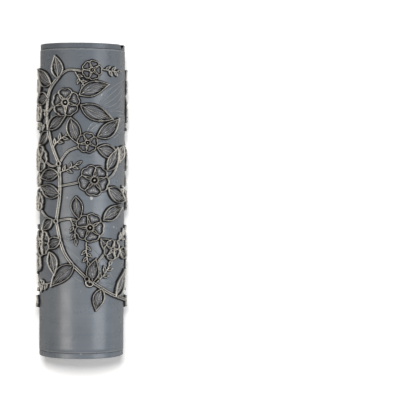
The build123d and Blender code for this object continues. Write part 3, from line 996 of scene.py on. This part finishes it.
def bush_plastic():
    """off-white turned bush with fine tool rings"""
    m = Finish("bush_plastic")
    tone = m.noise(scale=240, detail=3, roughness=0.5)
    sheen = m.noise(scale=300, detail=2, roughness=0.5)
    colour = m.blend(m.ramp(tone, low=0.3, high=0.7), linear(226, 223, 213), linear(214, 210, 199))
    m.shade("Base Color", colour)
    m.shade("Roughness", m.ramp(sheen, low=0.3, high=0.7, low_out=0.34, high_out=0.46))
    m.bump(m.rings(scale=2600, detail=2, roughness=0.6), TOOL_RING_HEIGHT, strength=0.5)
    return m.material


def ring_rubber():
    """black rubber with a faint bloom"""
    m = Finish("ring_rubber")
    bloom = m.noise(scale=330, detail=4, roughness=0.6)
    sheen = m.noise(scale=400, detail=2, roughness=0.5)
    share = m.ramp(bloom, low=0.4, high=0.75, high_out=0.5)
    m.shade("Base Color", m.blend(share, linear(26, 26, 27), linear(52, 52, 53)))
    m.shade("Roughness", m.ramp(sheen, low=0.3, high=0.7, low_out=0.48, high_out=0.66))
    m.bump(m.noise(scale=1500, detail=2, roughness=0.6), BUMP_HEIGHT, strength=0.4)
    return m.material


def dress(name, material):
    """gives a CAD node its material"""
    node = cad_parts[name]
    node.data.materials.clear()
    node.data.materials.append(material)
    for slot in node.material_slots:
        slot.material = material


# Floor: grey to the light and white to the camera, with a glow that grows away from the roller
FLOOR_SIZE = 6.0
FLOOR_GAP = 0.05 * MM
FLOOR_GREY = (0.48, 0.48, 0.48, 1)
FLOOR_WHITE = (0.98, 0.98, 0.98, 1)
GLOW_START = 0.35
GLOW_FULL = 1.1
GLOW_NEAR = 0.22

# Surroundings: place across the room from 0 at the left to 1 at the right, and the colour there
ROOM_COLOURS = (
    (0.2, (0.11, 0.09, 0.072, 1)),
    (0.6, (0.16, 0.16, 0.16, 1)),
)

# Camera, as the photograph shows it: the focal length in pixels, then its place and turn
FRAME_PIXELS = 416
FOCAL_PIXELS = 1666.1
SENSOR_WIDTH = 36.0
CAMERA_PLACE = (60.2 * MM, 21.75 * MM, 819.9 * MM)
CAMERA_TURN = (-0.0307, -0.0020, 0.0071)


def floor():
    """pale ground under the roller, white to the camera and still shaded where the roller shades it"""
    bpy.ops.mesh.primitive_plane_add(size=FLOOR_SIZE, location=(0, 0, cad_low.z - FLOOR_GAP))
    ground = bpy.context.object
    ground.name = "floor"
    m = Finish("floor_white")
    ray = m.camera_ray()
    glow = m.ramp(m.far(), low=GLOW_START, high=GLOW_FULL, low_out=GLOW_NEAR)
    m.shade("Base Color", m.blend(ray, FLOOR_GREY, FLOOR_WHITE))
    m.shade("Roughness", 0.9)
    m.shade("Specular IOR Level", 0.1)
    m.shade("Emission Color", WHITE)
    m.shade("Emission Strength", m.maths("MULTIPLY", ray, glow))
    ground.data.materials.append(m.material)


def surroundings():
    """dim warm room on the left and a lighter one on the right, white where the camera sees it"""
    world = bpy.data.worlds.new("studio")
    bpy.context.scene.world = world
    world.use_nodes = True
    m = Nodes(world.node_tree, "Generated")
    side = m.filled("ShaderNodeMapRange", {"Value": m.apart()[0], "From Min": -1})
    room = m.filled("ShaderNodeValToRGB", {"Fac": side.outputs["Result"]})
    for element, (position, colour) in zip(room.color_ramp.elements, ROOM_COLOURS):
        element.position = position
        element.color = colour
    seen = m.blend(m.camera_ray(), room.outputs["Color"], WHITE)
    m.feed(m.tree.nodes["Background"].inputs["Color"], seen)


def softbox(name, place, target, size, power, colour):
    """rectangular lamp that faces a target"""
    lamp = bpy.data.lights.new(name, "AREA")
    lamp.shape = "RECTANGLE"
    lamp.size, lamp.size_y = size
    lamp.energy = power
    lamp.color = colour
    holder = bpy.data.objects.new(name, lamp)
    holder.location = place
    aim = Vector(target) - Vector(place)
    holder.rotation_euler = aim.to_track_quat("-Z", "Y").to_euler()
    bpy.context.scene.collection.objects.link(holder)
    return holder


def studio():
    """high key light that isn't mirrored, and a soft box on each side for the two bands of gloss"""
    key = softbox("key", place=(0.10, 0.75, 2.9), target=(0, 0, 0),
                  size=(0.5, 0.5), power=70.0, colour=(1, 0.99, 0.97))
    key.visible_glossy = False
    left = softbox("left_box", place=(-0.49, -0.15, 0.64), target=(0, -0.07, 0),
                   size=(0.30, 0.42), power=1.1, colour=(1, 0.93, 0.85))
    left.visible_diffuse = False
    softbox("right_box", place=(0.66, -0.10, 0.50), target=(0, -0.02, 0),
            size=(0.52, 0.5), power=1.95, colour=(0.94, 0.97, 1))


def camera():
    """the photograph's camera: nearly straight above the middle of the frame"""
    lens = bpy.data.cameras.new("camera")
    lens.sensor_width = SENSOR_WIDTH
    lens.lens = FOCAL_PIXELS / FRAME_PIXELS * SENSOR_WIDTH
    holder = bpy.data.objects.new("camera", lens)
    holder.location = CAMERA_PLACE
    holder.rotation_euler = CAMERA_TURN
    bpy.context.scene.collection.objects.link(holder)
    bpy.context.scene.camera = holder


relief_sleeve(printed_plastic("printed_sleeve", with_relief=True))
dress("front_end_cap", printed_plastic("printed_cap"))
dress("rear_end_cap", printed_plastic("printed_cap_rear", with_notch=True))
dress("core_tube", core_plastic())
bush_material = bush_plastic()
rubber_material = ring_rubber()
for end in ("front", "rear"):
    dress(f"{end}_rod_bush", bush_material)
    for number in (1, 2):
        dress(f"{end}_cap_o_ring_{number}", rubber_material)
floor()
surroundings()
studio()
camera()
bpy.context.scene.view_settings.view_transform = "Standard"
